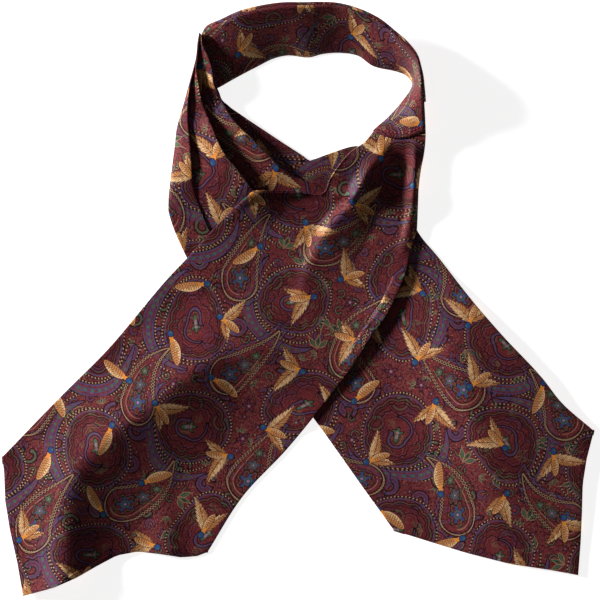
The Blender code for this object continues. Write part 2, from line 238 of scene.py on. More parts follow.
def ground_print(x, y):
    """Burgundy with fine dark lines that wander like watered silk, flecked with the other inks."""
    drift = Value(noise_node(x, y, 0.11, 1.5, 0.8).outputs[0])
    first, second, third = parted(noise_node(x, y, 0.8, 1.0, 0.6))
    echo = wave(drift * 70.0 + first * 2.5)
    return layered(
        BURGUNDY,
        (WINE, ramped(first, 4.0, -1.6)),
        (DARK, ramped(echo, 2.0, -0.9) * 0.62),
        (VIOLET, ramped(second, 9.0, -5.4) * 0.3),
        (GREEN, ramped(third, 9.0, -5.4) * 0.4),
        (DARK, ramped(third, -9.0, 3.6) * 0.8),
        (CREAM, ramped(second, -10.0, 3.2) * 0.4),
    )


# A cell's ornament by its first random number: a hook below the first bound, then a curl, a floret and a fan.
CURL_FROM, FLORET_FROM, FAN_FROM = 0.34, 0.58, 0.76


def sprig_print(colour, x, y, pitch, size, seed):
    """Hooks, curls, florets and leaf fans, one in each cell of a lattice, turned at random."""
    row = rounded(y / pitch)
    x = x + row * (pitch * 0.5)
    kind, spin, shift = chances(rounded(x / pitch), row, seed)
    x = wrapped(x, pitch) - (shift - 0.5) * (pitch * 0.2)
    y = wrapped(y, pitch) - (kind - 0.5) * (pitch * 0.12)
    x, y = turned_by(x, y, spin * math.tau)
    x, y = x / size, y / size
    r, a = radius_of(x, y), angle_of(x, y)
    # A hook: an arc that winds inwards and swells to its end, with a dark line round it.
    t = ramped(a, 0.19, 0.5)
    winding = r - (6.4 - 3.2 * t)
    arc = most(abs(winding) - (0.3 + 1.4 * t), (abs(a) - 2.5) * 4.0)
    hook = kind < CURL_FROM
    colour = layered(
        colour,
        (PLUM, inside(arc) * hook * 0.7),
        (VIOLET, line(arc, 0.34) * hook * 0.8),
        (DARK, line(arc - 1.3, 0.4) * hook),
    )
    # A curl: the same arc as a thin stroke with a dot at its end.
    curl = (kind > CURL_FROM) * (kind < FLORET_FROM)
    stroke = least(most(abs(winding) - 0.56, (abs(a) - 2.4) * 4.0), radius_of(x + 2.4, y - 2.2) - 1.2)
    colour = painted(colour, GREEN, inside(stroke) * curl)
    colour = painted(colour, DARK, line(stroke - 0.9, 0.4) * curl)
    # A floret of five petals.
    floret = (kind > FLORET_FROM) * (kind < FAN_FROM)
    petals = r - (3.4 + 1.5 * wave(a * 5.0))
    colour = layered(
        colour,
        (PLUM, inside(petals) * floret * 0.8),
        (DARK, line(petals, 0.5) * floret),
        (BLUSH, inside(r - 0.9) * floret),
    )
    # A fan of three leaves with a pale outline.
    fan = kind > FAN_FROM
    blade = wrapped(a, 0.72)
    half = 1.7 * wave(clamped((r - 1.5) / 8.5) * math.pi)
    leaf = most(abs(r * wave(blade)) - half, (abs(a) - 1.05) * 3.0)
    return layered(
        colour,
        (DARK, inside(leaf + 0.3) * fan * 0.8),
        (GREEN, line(leaf + 0.9, 0.3) * fan),
        (CREAM, line(leaf, 0.2) * fan * 0.8),
    )


RING_PITCH_X, RING_PITCH_Y = 104.0, 124.0  # from one medallion to the next, along and across the rows


def nearest_centre(x, y, offset):
    """The place from a staggered lattice's nearest centre, and that centre's cell and row."""
    places = []
    for shift_x, shift_y in ((offset, 0.0), (offset + RING_PITCH_X / 2, RING_PITCH_Y / 2)):
        u, v = x + shift_x, y + shift_y
        places.append((wrapped(u, RING_PITCH_X), wrapped(v, RING_PITCH_Y), rounded(u / RING_PITCH_X)))
    (x1, y1, cell1), (x2, y2, cell2) = places
    second = x2 * x2 + y2 * y2 < x1 * x1 + y1 * y1
    cell = rounded(cell1 + (cell2 - cell1) * second)
    return x1 + (x2 - x1) * second, y1 + (y2 - y1) * second, cell, second


def dotted(colour, along, across, pitch, mask=1.0):
    """A row of pale dots on a dark line, painted over a colour."""
    colour = painted(colour, DARK, line(across, 0.85) * mask * 0.8)
    return painted(colour, CREAM, inside(radius_of(wrapped(along, pitch), across) - 0.56) * mask)


def drawn_freely(x, y):
    """The place moved a little to and fro, so that no ring is quite round."""
    return (
        x + wave(y * 0.047 + 0.6) * 3.6 + wave(x * 0.031 + y * 0.083) * 1.8,
        y + wave(x * 0.041 + 2.1) * 3.6 + wave(y * 0.029 - x * 0.077) * 1.8,
    )


CRESCENT_RADIUS = 37.0
CRESCENT_DOTS = (31.8, 42.4)  # radii of the rows of dots beside it


def crescent_print(colour, x, y):
    """A patterned crescent that runs round one side of each medallion, between rows of dots."""
    x, y, cell, second = nearest_centre(x, y, 0.0)
    spin = chances(cell, second, 6.0)[0]
    r, a = radius_of(x, y), angle_of(x, y)
    a = wrapped(a + spin * 2.4, math.tau)
    crescent = most(abs(r - CRESCENT_RADIUS) - 4.2 * (1.0 - a * a * 0.5), (abs(a) - 1.4) * 30.0)
    colour = layered(
        colour,
        (ROSE, inside(crescent) * 0.6),
        (VIOLET, line(wrapped(crescent + 0.5, 2.6), 0.44) * inside(crescent) * 0.9),
        (DARK, line(crescent - 0.5, 0.3)),
    )
    squares = abs(wrapped(a * CRESCENT_RADIUS, 5.6)) + abs(r - CRESCENT_RADIUS) - 1.5
    colour = painted(colour, GREEN, inside(most(squares, crescent + 1.5)))
    beside = abs(a) < 1.5
    for radius in CRESCENT_DOTS:
        colour = dotted(colour, a * radius, r - radius, 2.6, beside)
    return colour


MEDALLION_RADIUS = 28.1
MEDALLION_DOTS = 66
LOBE_RADIUS = 21.2


def medallion_print(colour, x, y):
    """Medallions in rings of dots, with a lobed ring, a wound scroll and a flower inside."""
    x, y, cell, second = nearest_centre(x, y, 0.0)
    spin = chances(cell, second, 4.0)[0]
    r, a = radius_of(x, y), angle_of(x, y)
    a = wrapped(a + spin * math.tau, math.tau)
    r = r + 1.9 * wave(a * 2.0) + 1.0 * wave(a * 3.0 + 1.0)
    edge = r - MEDALLION_RADIUS
    colour = painted(colour, WINE, inside(edge + 2.1) * 0.5)
    colour = dotted(colour, a * MEDALLION_RADIUS, edge, MEDALLION_RADIUS * math.tau / MEDALLION_DOTS)
    colour = painted(colour, VIOLET, line(edge + 2.0, 0.34) * 0.85)
    ring = r - LOBE_RADIUS - abs(wave(a * 6.0)) * 1.7
    colour = painted(colour, GREEN, line(ring - 0.9, 0.24) * 0.6)
    colour = painted(colour, DARK, line(wrapped(ring, 2.0), 0.3) * inside(abs(ring) - 3.2))
    leaves = r - 11.5 - 5.0 * abs(wave(a * 2.5)) - 1.0 * abs(wave(a * 12.5))
    colour = layered(
        colour,
        (BURGUNDY, inside(leaves) * 0.25),
        (DARK, line(leaves, 0.4)),
        (ROSE, line(leaves + 1.1, 0.3) * 0.9),
    )
    echoes = line(wrapped(leaves + 0.4, 2.1), 0.26) * inside(abs(leaves + 4.0) - 2.4)
    colour = painted(colour, DARK, echoes * 0.8)
    t = ramped(a, 1 / math.tau, 0.5)
    scroll = most(abs(r - 5.5 - 7.5 * t) - (0.2 + 1.1 * (1.0 - t)), (abs(a) - 2.5) * 6.0)
    colour = painted(colour, VIOLET, inside(scroll) * 0.6)
    colour = painted(colour, DARK, line(scroll - 0.5, 0.4))
    petals = r - (3.4 + 1.3 * wave(a * 6.0))
    return layered(
        colour,
        (GREEN, inside(petals) * 0.9),
        (DARK, line(petals, 0.45)),
        (BLUSH, inside(r - 1.1)),
    )


BOTEH_RADIUS = 15.0  # of its broad end
BOTEH_LENGTH = 46.0
BOTEH_BEND = 0.0062  # how fast its point leans to one side
BOTEH_LEAN = 0.42  # of the whole drop, to the left and right in turn


def boteh_print(colour, x, y):
    """Large drops with a chain border, a fine inner line and a flowering stem."""
    x, y, cell, second = nearest_centre(x, y, RING_PITCH_X / 2)
    hand = 1.0 - 2.0 * second
    x, y = turned_by(x, y, BOTEH_LEAN * hand)
    x = x * hand
    y = y + BOTEH_RADIUS
    body = drop_shape(x, y, BOTEH_RADIUS, 1.0, BOTEH_LENGTH, BOTEH_BEND)
    colour = layered(
        colour,
        (WINE, inside(body - 2.6) * 0.35),
        (BURGUNDY, inside(body + 2.2) * 0.3),
        (DARK, line(wrapped(body + 0.9, 2.4), 0.28) * inside(body + 5.0) * 0.7),
    )
    around = most(y, 0.0) + angle_of(abs(x - BOTEH_BEND * y * abs(y)), least(y, 0.0)) * BOTEH_RADIUS
    twist = wave(around * 1.35) * 1.15 * abs(wave(around * 0.05 + 0.6))
    chain = least(abs(body - twist), abs(body + twist))
    colour = painted(colour, DARK, inside(abs(body) - 1.6) * 0.7)
    colour = painted(colour, CREAM, inside(chain - 0.22))
    scallop = body - 4.6 + 1.5 * abs(wave(around * 0.5))
    colour = layered(
        colour,
        (VIOLET, line(scallop, 0.32) * (x > -2.0)),
        (DARK, line(scallop - 1.1, 0.28)),
        (CREAM, line(body + 4.2, 0.18) * (x < 3.0) * 0.8),
    )
    for height, size, petal_ink in ((0.0, 1.0, BLUE), (13.0, 0.72, VIOLET), (23.5, 0.5, GREEN)):
        u = x - BOTEH_BEND * height * height - 0.1 * (y - height)
        v = y - height
        r, a = radius_of(u, v), angle_of(u, v)
        petals = r - size * (4.6 + 2.3 * wave(a * 5.0 + height))
        colour = painted(colour, petal_ink, inside(petals) * 0.75)
        colour = painted(colour, DARK, line(petals, 0.42))
        around_it = r - size * 7.6 - 1.4 * wave(a * 7.0)
        colour = layered(
            colour,
            (DARK, line(around_it, 0.36)),
            (GREEN, line(around_it + 1.0, 0.3) * 0.8),
            (GREEN, inside(abs(r - size * 2.6) - 0.4)),
            (BLUSH, inside(r - size * 1.1)),
        )
    return colour


def feather(colour, x, y, length, breadth, bend, mottle, mask):
    """A curved feathery leaf along x from the origin, lighter on one side, with ragged brown barbs."""
    t = share_of(x, length)
    across = y - bend * x * t
    barb = x - abs(across) * 1.2 + mottle * 1.5
    half = breadth * wave(math.pi * Value.math("POWER", t, 0.7))
    ragged = abs(across) - half - 0.9 + 0.95 * abs(wrapped(barb, 3.6))
    leaf = most(ragged, abs(x - length * 0.5) - length * 0.5)
    colour = painted(colour, BROWN, inside(leaf - 0.5) * mask)
    shade = painted(TAN, STRAW, clamped(0.35 + across * 0.22 + mottle * 1.6))
    colour = painted(colour, shade, inside(leaf) * mask)
    strokes = most(line(wrapped(barb, 1.8), 0.3), line(across + 0.3, 0.32))
    return painted(colour, BROWN, strokes * inside(leaf) * mask * clamped(0.95 - mottle * 1.4))


POD_PITCH_X, POD_PITCH_Y = 48.0, 44.0


def seed_print(colour, x, y):
    """Tan sprigs scattered over everything: feathery leaves round a scaly pod with a blue berry."""
    row = rounded(y / POD_PITCH_Y)
    x = x + row * (POD_PITCH_X / 2)
    kind, spin, shift = chances(rounded(x / POD_PITCH_X), row, 9.0)
    x = wrapped(x, POD_PITCH_X) - (shift - 0.5) * 7.0
    y = wrapped(y, POD_PITCH_Y) - (kind - 0.5) * 5.0
    x, y = turned_by(x, y, spin * math.tau)
    x = x + 8.0
    mottle = Value(noise_node(x, y, 0.42, 1.0).outputs[0]) - 0.5
    opened = kind < 0.62
    spread = 0.1 + (0.9 - kind) * opened
    u, v = turned_by(x, y, spread * -0.7)
    colour = feather(colour, u, v, 15.0 + shift * 7.0, 3.4, -0.25, mottle, opened)
    u, v = turned_by(x, y, spread)
    colour = feather(colour, u, v, 22.0 + shift * 5.0, 4.0, 0.22, mottle, opened)
    # The pod, with rows of scales.
    stout = 1.0 + 0.35 * (1.0 - opened)
    length = 11.5 * stout
    belly = y + 0.012 * x * x
    t = share_of(x, length * 1.3)
    body = most(abs(belly) - 2.7 * stout * Value.math("SQRT", wave(math.pi * t)), abs(x - 7.0) - length)
    colour = painted(colour, BROWN, inside(body - 0.5))
    shade = painted(TAN, ORANGE, clamped(1.0 - x * 0.16))
    colour = painted(colour, painted(shade, STRAW, clamped(belly * 0.35 + mottle * 2.0)), inside(body))
    scales = line(wrapped(x + abs(wrapped(belly, 2.2)) * 0.9, 1.9), 0.3)
    colour = painted(colour, BROWN, scales * inside(body + 0.3) * (x > 3.0) * 0.85)
    # The berry on its short neck.
    neck = radius_of((x + 0.6) * 0.6, y - 0.4) - 1.5
    colour = painted(colour, ORANGE, inside(neck))
    berry = radius_of(x + 3.6, (y - 1.2) * 1.15) - 2.4
    return layered(
        colour,
        (DARK, inside(berry - 0.5)),
        (BLUE, inside(berry)),
        (GREEN, inside(radius_of(x + 4.2, y - 2.0) - 0.8)),
    )


def silk_material(name):
    """A material with the whole print and the weave."""
    material = bpy.data.materials.new(name)
    material.use_nodes = True
    Value.tree = material.node_tree
    shader = material.node_tree.nodes["Principled BSDF"]
    place = Value.node("UVMap", {"uv_map": "cloth"}, {})
    parts = Value.node("SeparateXYZ", {}, {"Vector": Value(place.outputs[0])})
    x, y = Value(parts.outputs[0]), Value(parts.outputs[1])
    colour = ground_print(x, y)
    colour = sprig_print(colour, x, y, 12.0, 0.55, 1.0)
    colour = sprig_print(colour, x, y, 22.0, 1.05, 2.0)
    free_x, free_y = drawn_freely(x, y)
    colour = crescent_print(colour, free_x, free_y)
    colour = medallion_print(colour, free_x, free_y)
    colour = boteh_print(colour, free_x, free_y)
    colour = seed_print(colour, x, y)
    # The twill: short streaks across the grain, seen as a slight unevenness of colour and of surface.
    streak = Value(noise_node((x + y) * 1.1, (x - y) * 0.24, 1.0, 1.0).outputs[0])
    colour = painted(colour, DARK, ramped(streak, 2.6, -1.2) * 0.3)
    bump = Value.node("Bump", {}, {"Strength": 0.25, "Distance": 0.0002, "Height": streak})
    material.node_tree.links.new(bump.outputs[0], shader.inputs["Normal"])
    material.node_tree.links.new(colour.socket, shader.inputs["Base Color"])
    shader.inputs["Roughness"].default_value = SHINE
    shader.inputs["Specular IOR Level"].default_value = 0.1
    return material


printed_silk = silk_material("printed silk")
facing_silk = silk_material("facing silk")


# The neckband's facing: a plain strip of the printed silk on the inside of the band. Its inner edge lies on
# the surface and its outer edge stands up. It ends under the left pleats, and top-stitched at the right neck.

MM = 0.001
SHEET = 0.5  # thickness of a single cloth
FLOOR_GAP = SHEET * 0.05  # least height of a cloth's back
WELD = 0.02  # points as close as this become one
SLIVER = 0.01  # edges as short as this are taken out
FACING_TOP = 1.2  # height of its face over its underside
FACING_PLIES = 0.9  # thickness of its two plies, pressed
FACING_COLUMNS = 18
SECTION_STEP = 0.45  # length of a section's step, as a share of the table's


def table(names, *rows):
    """The rows as one array, and the place of each named column in it."""
    return np.array(rows, float), {name: i for i, name in enumerate(names.split())}


FACING = table(
    "inner_x inner_y outer_x outer_y inner_z outer_z bow step",
    (-77.0, 154.0, -73.5, 200.0, 0.3, 8.5, 0.0, 6),
    (-62.5, 160.0, -69.3, 205.6, 0.0, 9.5, 0.0, 6),
    (-49.0, 167.5, -58.2, 210.6, 0.0, 13.5, 0.0, 6),
    (-31.0, 177.0, -43.0, 217.2, 0.0, 18.0, 0.0, 7),
    (-18.0, 183.3, -27.0, 221.1, 0.0, 20.5, 0.0, 7),
    (-7.5, 185.5, -12.8, 223.1, 0.0, 22.0, 0.0, 7),
    (8.5, 184.0, 4.0, 223.3, 0.0, 22.0, 0.0, 7),
    (18.5, 186.5, 17.0, 223.6, 0.0, 21.5, 0.0, 7),
    (30.5, 187.5, 29.0, 223.1, 0.0, 20.5, 0.0, 7),
    (45.0, 185.5, 43.8, 219.6, 0.0, 21.5, 0.0, 7),
    (57.5, 177.2, 60.5, 211.9, 0.0, 23.0, 0.0, 6),
    (74.0, 173.5, 73.8, 201.8, 0.0, 25.0, 0.0, 5),
    (82.5, 170.0, 84.3, 192.0, 0.0, 28.0, 0.0, 4),
    (86.6, 164.2, 91.0, 181.8, 0.4, 30.5, 0.0, 3),
    (85.8, 160.0, 93.0, 171.0, 1.0, 31.0, 0.0, 4),
    (79.5, 151.0, 93.8, 159.5, 1.6, 29.0, 0.0, 4),
    (69.5, 139.5, 95.2, 145.5, 2.4, 21.0, 2.0, 4),
    (57.0, 128.5, 96.3, 128.5, 3.0, 12.0, 6.5, 4),
)


def column(rows, name):
    """One named column of a table, as an array with a row for each section."""
    return rows[0][:, rows[1][name]]


def pair(rows, name):
    """The x and y columns of a named point, as an array of points."""
    return np.stack([column(rows, name + "_x"), column(rows, name + "_y")], axis=1)


def lengths_along(points):
    """How far along a line of points each one lies."""
    return np.concatenate([[0], np.linalg.norm(np.diff(points, axis=0), axis=1).cumsum()])


def eased(share):
    """A share from 0 to 1 that starts and ends gently."""
    return share * share * (3 - 2 * share)


def smooth(rows, along):
    """The table with more rows between its own, on smooth curves, as far apart as "step" says."""
    values, places = rows
    knots = lengths_along(along)
    slopes = np.gradient(values, knots, axis=0)
    out = []
    for i, length in enumerate(np.diff(knots)):
        count = max(1, round(length / (values[i, places["step"]] * SECTION_STEP)))
        for t in np.arange(count) / count:
            a, b = slopes[i] * length, slopes[i + 1] * length
            out.append(
                (2 * t**3 - 3 * t**2 + 1) * values[i]
                + (t**3 - 2 * t**2 + t) * a
                + (3 * t**2 - 2 * t**3) * values[i + 1]
                + (t**3 - t**2) * b
            )
    return np.array([*out, values[-1]]), places


def between(a, b, shares):
    """Points between two lines of points, a row for each pair and a column for each share."""
    return a[:, None] * (1 - shares)[:, None] + b[:, None] * shares[:, None]


def face_normals(grid):
    """A unit normal at each point of a grid, from the faces round it.

    Where those have no area, it is the same as the point's before it.
    """
    along, across = np.diff(grid, axis=0), np.diff(grid, axis=1)
    faces = np.cross(across[:-1] + across[1:], along[:, :-1] + along[:, 1:])
    total = np.zeros(grid.shape)
    for i, j in ((0, 0), (0, 1), (1, 0), (1, 1)):
        total[i : i + len(faces), j : j + faces.shape[1]] += faces
    size = np.linalg.norm(total, axis=2)
    for j in range(1, grid.shape[1]):
        weak = size[:, j] < 1e-6
        total[weak, j] = total[weak, j - 1]
        size[weak, j] = size[weak, j - 1]
    return total / np.maximum(size, 1e-9)[..., None]


def finished(name, mesh, material):
    """An object from a mesh that is complete, which rides on the cravat's one body."""
    bmesh.ops.recalc_face_normals(mesh, faces=mesh.faces)
    data = bpy.data.meshes.new(name)
    mesh.to_mesh(data)
    mesh.free()
    data.shade_smooth()
    data.materials.append(material)
    piece = bpy.data.objects.new(name, data)
    bpy.context.scene.collection.objects.link(piece)
    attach(piece, "root")
    return piece


def cloth(name, top, thickness, places, material):
    """A sheet of cloth as a closed mesh: its face, and its back at the given thickness behind it.

    Top is a grid of points, and places holds each one's place in the print.
    """
    if np.mean(face_normals(top)[..., 2]) < 0:
        top, places = top[:, ::-1], places[:, ::-1]
    back = top - face_normals(top) * thickness
    back[..., 2] = np.maximum(back[..., 2], FLOOR_GAP)
    rows, columns = top.shape[:2]
    mesh = bmesh.new()
    layer = mesh.loops.layers.uv.new("cloth")
    faces = []
    for grid, turn in ((top, 1), (back, -1)):
        verts = [[mesh.verts.new(point * MM) for point in row] for row in grid]
        faces.append(verts)
        for i in range(rows - 1):
            for j in range(columns - 1):
                ring = [(i, j), (i, j + 1), (i + 1, j + 1), (i + 1, j)][::turn]
                face = mesh.faces.new([verts[a][b] for a, b in ring])
                for loop, (a, b) in zip(face.loops, ring):
                    loop[layer].uv = places[a, b]
    upper, lower = faces
    rim = [(i, 0) for i in range(rows)]
    rim += [(rows - 1, j) for j in range(1, columns)]
    rim += [(i, columns - 1) for i in range(rows - 2, -1, -1)]
    rim += [(0, j) for j in range(columns - 2, 0, -1)]
    for (a, b), (c, d) in zip(rim, rim[1:] + rim[:1]):
        face = mesh.faces.new((upper[a][b], upper[c][d], lower[c][d], lower[a][b]))
        for loop, (i, j) in zip(face.loops, ((a, b), (c, d), (c, d), (a, b))):
            loop[layer].uv = places[i, j]
    bmesh.ops.remove_doubles(mesh, verts=mesh.verts, dist=WELD * MM)
    bmesh.ops.dissolve_degenerate(mesh, edges=mesh.edges, dist=SLIVER * MM)
    return finished(name, mesh, material)


def lift_over(x, y, below, reach, fall):
    """The least height at which a cloth clears the points below it. Past their edges it falls away."""
    lift = np.zeros(x.shape)
    for px, py, pz in below:
        past = np.maximum(0, np.hypot(x - px, y - py) - reach)
        lift = np.maximum(lift, pz - fall * past)
    return lift


facing_rows = smooth(FACING, (pair(FACING, "inner") + pair(FACING, "outer")) / 2)
facing_low = np.column_stack([pair(facing_rows, "inner"), column(facing_rows, "inner_z")])
facing_high = np.column_stack([pair(facing_rows, "outer"), column(facing_rows, "outer_z")])
facing_shares = np.linspace(0, 1, FACING_COLUMNS + 1)
facing_under = between(facing_low, facing_high, facing_shares)
facing_under[..., 1] -= column(facing_rows, "bow")[:, None] * (4 * facing_shares * (1 - facing_shares))


# The band's outer silk: the pleats of both halves run on round the back of the neck, pressed along the band
# under the facing. Their lips show on the band's outside.

# Corners of its cross-section: how far along the facing's slant, as a share, and how far outside it.
BAND_PROFILE = (
    (0.16, 0.5),
    (0.45, 0.5),
    (0.75, 0.5),
    (0.98, 0.5),
    (1.03, 0.8),
    (1.045, 1.6),
    (1.045, 2.6),
    (1.02, 3.5),
    (0.97, 4.0),
    (0.85, 4.0),
    (0.73, 3.9),
    (0.705, 3.6),
    (0.70, 2.8),
    (0.57, 2.8),
    (0.44, 2.8),
    (0.425, 2.5),
    (0.42, 1.9),
    (0.16, 1.4),
)
BAND_SHORT_SECTIONS = 10  # how many sections before the facing's end it stops
BAND_OUTER_CORNER = 4  # the corner along which the print's length is measured
BAND_FLOOR_GAP = 0.02
BAND_PRINT_START = 30

rings = []
for i in range(len(facing_under) - BAND_SHORT_SECTIONS):
    low, high = facing_under[i, 0], facing_under[i, -1]
    slant = high - low
    flat = math.hypot(slant[0], slant[1])
    down = np.array([slant[0] * slant[2] / flat, slant[1] * slant[2] / flat, -flat])
    down /= np.linalg.norm(down)
    ring = np.array([low + along * slant + depth * down for along, depth in BAND_PROFILE])
    ring[:, 2] = np.maximum(ring[:, 2], BAND_FLOOR_GAP)
    rings.append(ring)
rings_along = lengths_along(np.array(rings)[:, BAND_OUTER_CORNER])
ring_places = []
for ring, along in zip(rings, rings_along):
    around = lengths_along(ring) + BAND_PRINT_START
    ring_places.append(np.column_stack([around, np.full(len(ring), along)]))
mesh = bmesh.new()
layer = mesh.loops.layers.uv.new("cloth")
ring_verts = [[mesh.verts.new(point * MM) for point in ring] for ring in rings]
ring_size = len(BAND_PROFILE)
for i in range(len(rings) - 1):
    for j in range(ring_size):
        k = (j + 1) % ring_size
        corners = [(i, j), (i, k), (i + 1, k), (i + 1, j)]
        face = mesh.faces.new([ring_verts[a][b] for a, b in corners])
        for loop, (a, b) in zip(face.loops, corners):
            loop[layer].uv = ring_places[a][b]
for i in (0, len(rings) - 1):
    face = mesh.faces.new(ring_verts[i])
    for loop, place in zip(face.loops, ring_places[i]):
        loop[layer].uv = place
band_cloth = finished("band_outer_silk", mesh, printed_silk)
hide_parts("band_outer")


# The left half: three knife pleats, tacked at the side of the neck, that open out into the blade that lies
# underneath. Each pleat's lip lies over the next one's start, and the blade's edges are turned under.

PLEAT_COLUMNS = 12
FOLD_ANGLES = (60, 30, 0, -30, -60, -90)  # round a pleat's lip, from above to below
FOLD_SHARES = (0.35, 0.7, 0.95)  # where the columns lie that run on to the next pleat's start
FOLD_RADIUS = 0.9  # most radius of a lip
PLEAT_HOLLOW = 1.2  # power of a pleat's rise to its lip: it stays low beside the pocket
CREST_ROUND = 0.06  # share of a crease's reach that its crest is rounded over
CREST_HOLLOW = 1.4
ROLL_SWELL = 0.7  # power of the rise from the rolled outer side
FOLD_UNDER = 3.5  # how far a pleat's start lies back under the lip beside it
CLOTH_RISE = 1.5  # height of a blade's face over what it lies on
HEM_RADIUS = 0.65  # of a turned edge
HEM_UNDER = 8.0  # how far a hem is turned under
HEM_TURN = (90, 60, 30, 0, -30, -60, -90)  # round a turned edge, from its top to its back
EDGE_UNDER = 3.0  # how far the blade's right edge is turned under
ROLL_RADIUS = 1.2  # of the rolled outer side of the neck
LEAST_HEIGHT = SHEET * 0.4  # of a cloth's face
TURN_COLUMNS = len(HEM_TURN) + 2  # columns that a turned side adds
HEM_SHARES = np.array((0.3, 0.65, 1.0))  # where the turned cloth's columns lie
MITRE_END = 0.6  # least length of a hem's turned cloth, at its corners
CORNER_SHARE = 0.08  # a hem's radius at its corners, as a share of its full one

# Each section crosses the pleats from the rolled outer side to the neck edge. C, B and A are their lips.
LEFT_NECK = table(
    "roll_x roll_y c_x c_y b_x b_y a_x a_y edge_x edge_y roll_z c_z b_z a_z pocket_z edge_z step",
    (-75.4, 203.0, -74.8, 202.4, -74.2, 201.9, -73.4, 201.2, -72.6, 200.6, 12, 13, 13.2, 13.4, 12.8, 12.6, 4),
    (-76.6, 196.0, -76.0, 195.7, -75.4, 195.4, -73.0, 194.6, -72.0, 194.2, 10, 13.6, 14, 14.5, 12.5, 12.6, 4),
    (-78.0, 183.5, -77.2, 183.5, -76.5, 183.5, -68.0, 183.5, -66.8, 183.5, 8, 13.5, 14, 15, 11, 11.5, 4),
    (-80.0, 175.5, -79.0, 175.5, -77.5, 175.5, -65.5, 175.0, -64.3, 175.0, 6, 12, 14, 14.5, 8, 9, 4),
    (-83.5, 162.5, -82.3, 162.2, -75.0, 163.0, -64.0, 164.0, -62.8, 164.0, 4, 10, 12.5, 12.5, 4.5, 5.5, 4),
    (-87.0, 149.5, -83.5, 151.0, -73.5, 153.0, -61.2, 157.0, -60.0, 157.0, 3.0, 9.5, 10.0, 9.0, 4.0, 5.0, 4),
    (-92.0, 132.0, -83.5, 136.5, -71.0, 145.0, -58.2, 151.0, -57.0, 150.5, 2.5, 7.5, 8.0, 7.0, 4.5, 5.0, 4),
    (-94.0, 116.5, -82.5, 122.5, -65.5, 132.0, -49.5, 137.0, -40.5, 138.4, 2.5, 8.0, 11.5, 9.5, 3.0, 4.0, 5),
    (-96.3, 98.5, -81.0, 106.0, -58.0, 114.5, -39.5, 126.5, -27.5, 129.7, 2.5, 8.5, 13.0, 10.5, 2.8, 3.5, 5),
    (-98.6, 79.0, -80.0, 87.0, -47.0, 100.0, -27.5, 114.5, -10.5, 118.4, 2.5, 5.6, 12.5, 10.0, 2.6, 3.0, 5),
    (-98.9, 69.6, -77.2, 76.1, -38.8, 89.1, -16.6, 103.8, 4.3, 108.8, 2.5, 3.8, 10.7, 8.5, 2.6, 3.0, 5),
    (-98.8, 66.5, -76.0, 72.5, -36.0, 85.5, -13.0, 100.0, 9.5, 105.3, 2.5, 3.4, 10.0, 8.0, 2.6, 3.0, 5),
    (-97.9, 63.1, -74.6, 68.9, -34.0, 83.1, -9.4, 98.0, 14.6, 107.3, 2.5, 3.1, 8.8, 7.1, 2.6, 3.0, 5),
    (-94.2, 52.0, -70.0, 57.0, -27.5, 75.5, 1.0, 92.0, 30.0, 113.0, 2.5, 2.7, 5.0, 4.2, 2.5, 3.0, 7),
    (-84.5, 31.0, -61.5, 42.0, -15.0, 65.0, 16.0, 86.0, 46.0, 116.5, 2.0, 2.2, 2.4, 2.4, 2.2, 2.4, 8),
    (-66.5, 7.5, -41.0, 22.0, 3.0, 50.0, 34.0, 73.0, 68.5, 97.0, 1.6, 1.8, 1.8, 1.8, 1.8, 1.8, 9),
)
LIPS = ("c", "b", "a")

# Each section crosses the blade from its left edge to its right one. Point is how far a section is drawn out
# to the shape of the pointed end.
LEFT_BLADE = table(
    "left_x left_y right_x right_y point step",
    (-66.5, 7.5, 68.5, 97.0, 0.0, 9),
    (-44.0, -20.0, 84.0, 73.0, 0.0, 9),
    (-23.0, -47.0, 91.5, 51.0, 0.0, 9),
    (-5.5, -69.5, 108.0, 30.5, 0.0, 10),
    (11.5, -90.5, 131.0, 1.0, 0.03, 10),
    (32.0, -119.0, 156.0, -28.0, 0.18, 10),
    (52.5, -148.0, 188.0, -62.5, 0.5, 10),
    (60.5, -159.0, 199.8, -77.8, 0.7, 10),
    (73.0, -176.5, 225.5, -100.5, 1.0, 10),
)
LEFT_HEM = table(
    "x y",
    (73.0, -176.5),
    (103.5, -186.0),
    (128.0, -193.5),
    (161.5, -202.0),
    (191.5, -206.5),
    (213.5, -210.5),
    (215.5, -184.5),
    (216.5, -161.0),
    (217.0, -141.0),
    (220.0, -122.0),
    (225.5, -100.5),
)
LEFT_TIP = 5  # row of the hem that is the blade's tip

# Creases: how far each one reaches to the left and right of its line, seen along it, and the line with the
# crease's height at each point, which is negative in a trough.
LEFT_CREASES = {
    "middle soft fold": (150.0, 56.0, (
        (98, 16, 0), (108, -14, 6.0), (117, -40, 10.5), (129, -72, 12.0), (142, -112, 11.0),
        (150, -152, 7.0), (158, -202, 3.0),
    )),
}


def crest(share):
    """About 1 at 0, falling steeply at first, then gently to 0 at 1 and beyond."""
    return (1 - np.minimum(np.hypot(share, CREST_ROUND), 1)) ** CREST_HOLLOW


def crease_height(x, y, creases):
    """The height that the creases add at each point."""
    total = np.zeros(x.shape)
    for left, right, points in creases.values():
        nearest, side, height = np.full(x.shape, np.inf), np.zeros(x.shape), np.zeros(x.shape)
        for (ax, ay, az), (bx, by, bz) in zip(points[:-1], points[1:]):
            dx, dy = bx - ax, by - ay
            t = np.clip(((x - ax) * dx + (y - ay) * dy) / (dx * dx + dy * dy), 0, 1)
            away = np.hypot(x - ax - t * dx, y - ay - t * dy)
            closer = away < nearest
            nearest = np.where(closer, away, nearest)
            side = np.where(closer, dx * (y - ay) - dy * (x - ax), side)
            height = np.where(closer, az + t * (bz - az), height)
        total += height * crest(nearest / np.where(side > 0, left, right))
    return total


